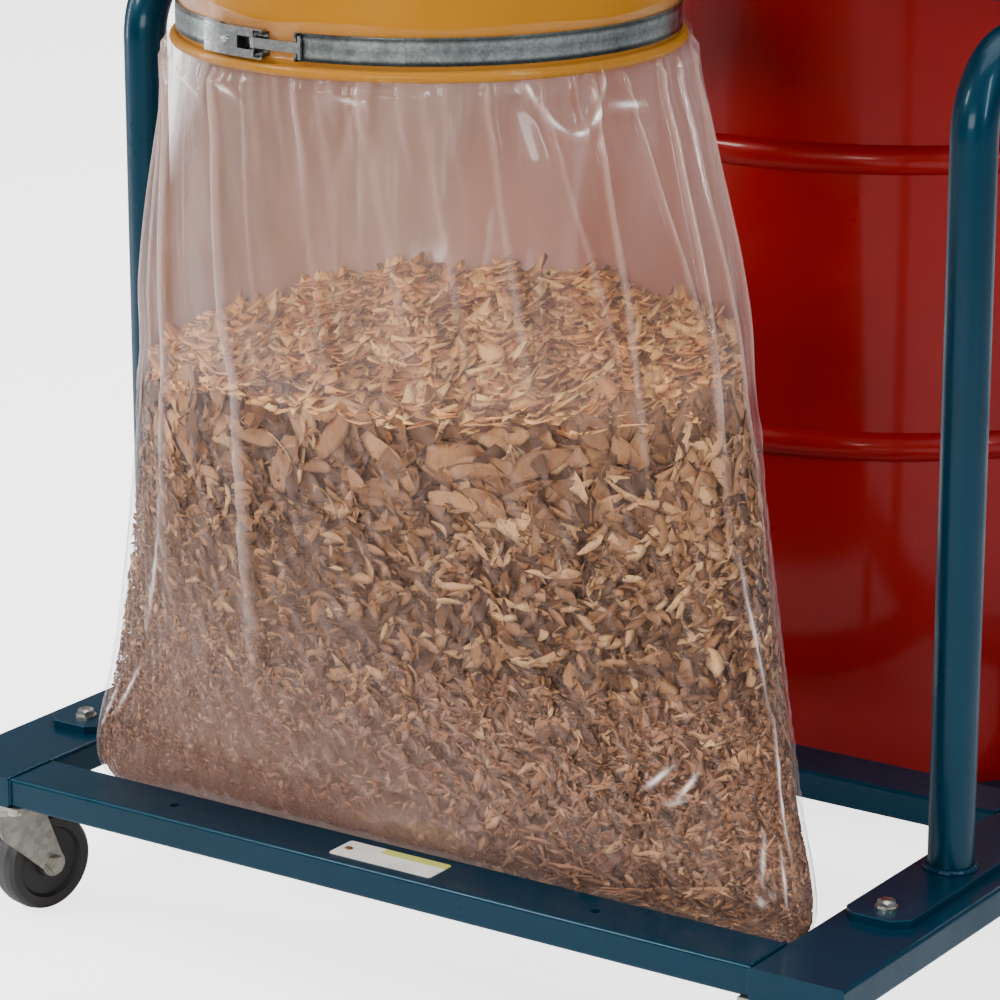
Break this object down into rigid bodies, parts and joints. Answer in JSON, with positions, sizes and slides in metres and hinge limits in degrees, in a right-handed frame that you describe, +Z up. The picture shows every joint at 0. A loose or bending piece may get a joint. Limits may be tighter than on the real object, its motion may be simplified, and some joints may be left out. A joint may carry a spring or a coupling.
{
  "type": "dust collector",
  "caption": "Two-stage workshop dust collector on a wheeled cart, with a clear chip bag clamped under a ring hood, a pleated filter, a separator drum and a blower.",
  "frame": {"origin": "middle of the overall box, on the floor under the wheels", "axes": "+Z up; +Y from the bag's end towards the drum's end, so the bag faces -Y; +X is to the right for somebody who stands in front of the bag and looks at it"},
  "size_m": [1.023, 1.529, 1.898],
  "materials": {
    "cart_paint": "gloss",
    "hood_paint": "gloss",
    "drum_paint": "gloss",
    "motor_paint": "satin",
    "zinc": "satin",
    "black_plastic": "matte",
    "grey_plastic": "matte",
    "green_plastic": "gloss",
    "red_plastic": "gloss",
    "label": "satin",
    "film": "translucent gloss",
    "chips": "rough",
    "rubber": "matte",
    "filter_paper": "matte",
    "aluminium": "satin"
  },
  "bodies": {
    "cart": {"side_rail_left": "cart_paint", "side_rail_right": "cart_paint", "rail_end_caps": "cart_paint", "front_rail": "cart_paint", "cross_rail": "cart_paint", "drum_cradle_front": "cart_paint", "drum_cradle_rear": "cart_paint", "hoop_left": "cart_paint", "hoop_right": "cart_paint", "foot_plates": "cart_paint", "stand_beam": "cart_paint", "stand_posts": "cart_paint", "deck_plate": "cart_paint", "blower_housing": "cart_paint", "transfer_duct": "cart_paint", "hood_shell": "hood_paint", "hood_saddle": "hood_paint", "hood_arms": "hood_paint", "filter_base": "hood_paint", "filter_cap": "hood_paint", "drum_body": "drum_paint", "drum_inlet": "drum_paint", "drum_lid": "drum_paint", "motor_body": "motor_paint", "foot_bolts": "zinc", "caster_bolts": "zinc", "filter_bolts": "zinc", "band_strap": "zinc", "lock_ring": "zinc", "vortex_finder": "zinc", "caster_front_left_plate": "zinc", "caster_front_right_plate": "zinc", "caster_rear_left_plate": "zinc", "caster_rear_right_plate": "zinc", "label_plate": "label", "bag_film": "film", "chips_fill": "chips", "suction_cuff": "rubber", "fan_cover": "black_plastic", "terminal_box": "black_plastic", "filter_media": "filter_paper", "switch_box": "grey_plastic", "cable_gland": "black_plastic"},
    "caster_front_left_swivel": {"caster_front_left_fork": "zinc"},
    "caster_front_left_wheel": {"caster_front_left_wheel": "black_plastic"},
    "caster_front_right_swivel": {"caster_front_right_fork": "zinc"},
    "caster_front_right_wheel": {"caster_front_right_wheel": "black_plastic"},
    "caster_rear_left_swivel": {"caster_rear_left_fork": "zinc"},
    "caster_rear_left_wheel": {"caster_rear_left_wheel": "black_plastic"},
    "caster_rear_right_swivel": {"caster_rear_right_fork": "zinc"},
    "caster_rear_right_wheel": {"caster_rear_right_wheel": "black_plastic"},
    "band_lever": {"band_lever": "zinc"},
    "band_link": {"band_link": "zinc"},
    "lock_lever": {"lock_lever": "zinc"},
    "impeller": {"impeller": "aluminium"},
    "cleaning_crank": {"crank_handle": "black_plastic", "cleaning_paddle": "zinc"},
    "start_button": {"start_button": "green_plastic"},
    "stop_button": {"stop_button": "red_plastic"}
  },
  "joints": [
    {"name": "caster_front_left_swivel_turn", "type": "hinge", "parent": "cart", "child": "caster_front_left_swivel", "pos_m": [-0.451, -0.6105, 0.115], "axis": [0, 0, 1], "continuous": true},
    {"name": "caster_front_left_wheel_spin", "type": "hinge", "parent": "caster_front_left_swivel", "child": "caster_front_left_wheel", "pos_m": [-0.44084, -0.56975, 0.05], "axis": [-0.9703, 0.2419, 0], "continuous": true},
    {"name": "caster_front_right_swivel_turn", "type": "hinge", "parent": "cart", "child": "caster_front_right_swivel", "pos_m": [0.451, -0.6105, 0.115], "axis": [0, 0, 1], "continuous": true},
    {"name": "caster_front_right_wheel_spin", "type": "hinge", "parent": "caster_front_right_swivel", "child": "caster_front_right_wheel", "pos_m": [0.43527, -0.57156, 0.05], "axis": [-0.9272, -0.3746, 0], "continuous": true},
    {"name": "caster_rear_left_swivel_turn", "type": "hinge", "parent": "cart", "child": "caster_rear_left_swivel", "pos_m": [-0.451, 0.7315, 0.115], "axis": [0, 0, 1], "continuous": true},
    {"name": "caster_rear_left_wheel_spin", "type": "hinge", "parent": "caster_rear_left_swivel", "child": "caster_rear_left_wheel", "pos_m": [-0.43942, 0.69113, 0.05], "axis": [0.9613, 0.2756, 0], "continuous": true},
    {"name": "caster_rear_right_swivel_turn", "type": "hinge", "parent": "cart", "child": "caster_rear_right_swivel", "pos_m": [0.451, 0.7315, 0.115], "axis": [0, 0, 1], "continuous": true},
    {"name": "caster_rear_right_wheel_spin", "type": "hinge", "parent": "caster_rear_right_swivel", "child": "caster_rear_right_wheel", "pos_m": [0.44084, 0.69075, 0.05], "axis": [0.9703, -0.2419, 0], "continuous": true},
    {"name": "band_lever_swing", "type": "hinge", "parent": "cart", "child": "band_lever", "pos_m": [-0.01204, -0.75018, 0.934], "axis": [0, 0, 1], "range_deg": [0, 140]},
    {"name": "band_link_swing", "type": "hinge", "parent": "band_lever", "child": "band_link", "pos_m": [-0.023, -0.74694, 0.934], "axis": [0, 0, 1], "range_deg": [-140, 0]},
    {"name": "lock_lever_swing", "type": "hinge", "parent": "cart", "child": "lock_lever", "pos_m": [-0.31802, 0.20101, 1.049], "axis": [0, 0, 1], "range_deg": [-110, 0]},
    {"name": "impeller_spin", "type": "hinge", "parent": "cart", "child": "impeller", "pos_m": [0, 0.3295, 1.16], "axis": [0, 0, 1], "continuous": true},
    {"name": "cleaning_crank_turn", "type": "hinge", "parent": "cart", "child": "cleaning_crank", "pos_m": [0, -0.5205, 1.85], "axis": [0, 0, 1], "continuous": true},
    {"name": "start_button_press", "type": "slide", "parent": "cart", "child": "start_button", "axis": [0, 1, 0], "range_m": [0, 0.003], "stiffness_N_per_m": 800},
    {"name": "stop_button_press", "type": "slide", "parent": "cart", "child": "stop_button", "axis": [0, 1, 0], "range_m": [0, 0.003], "stiffness_N_per_m": 800}
  ],
  "couplings": [
    {"joint": "band_link_swing", "follows": "band_lever_swing", "ratio": -1}
  ]
}
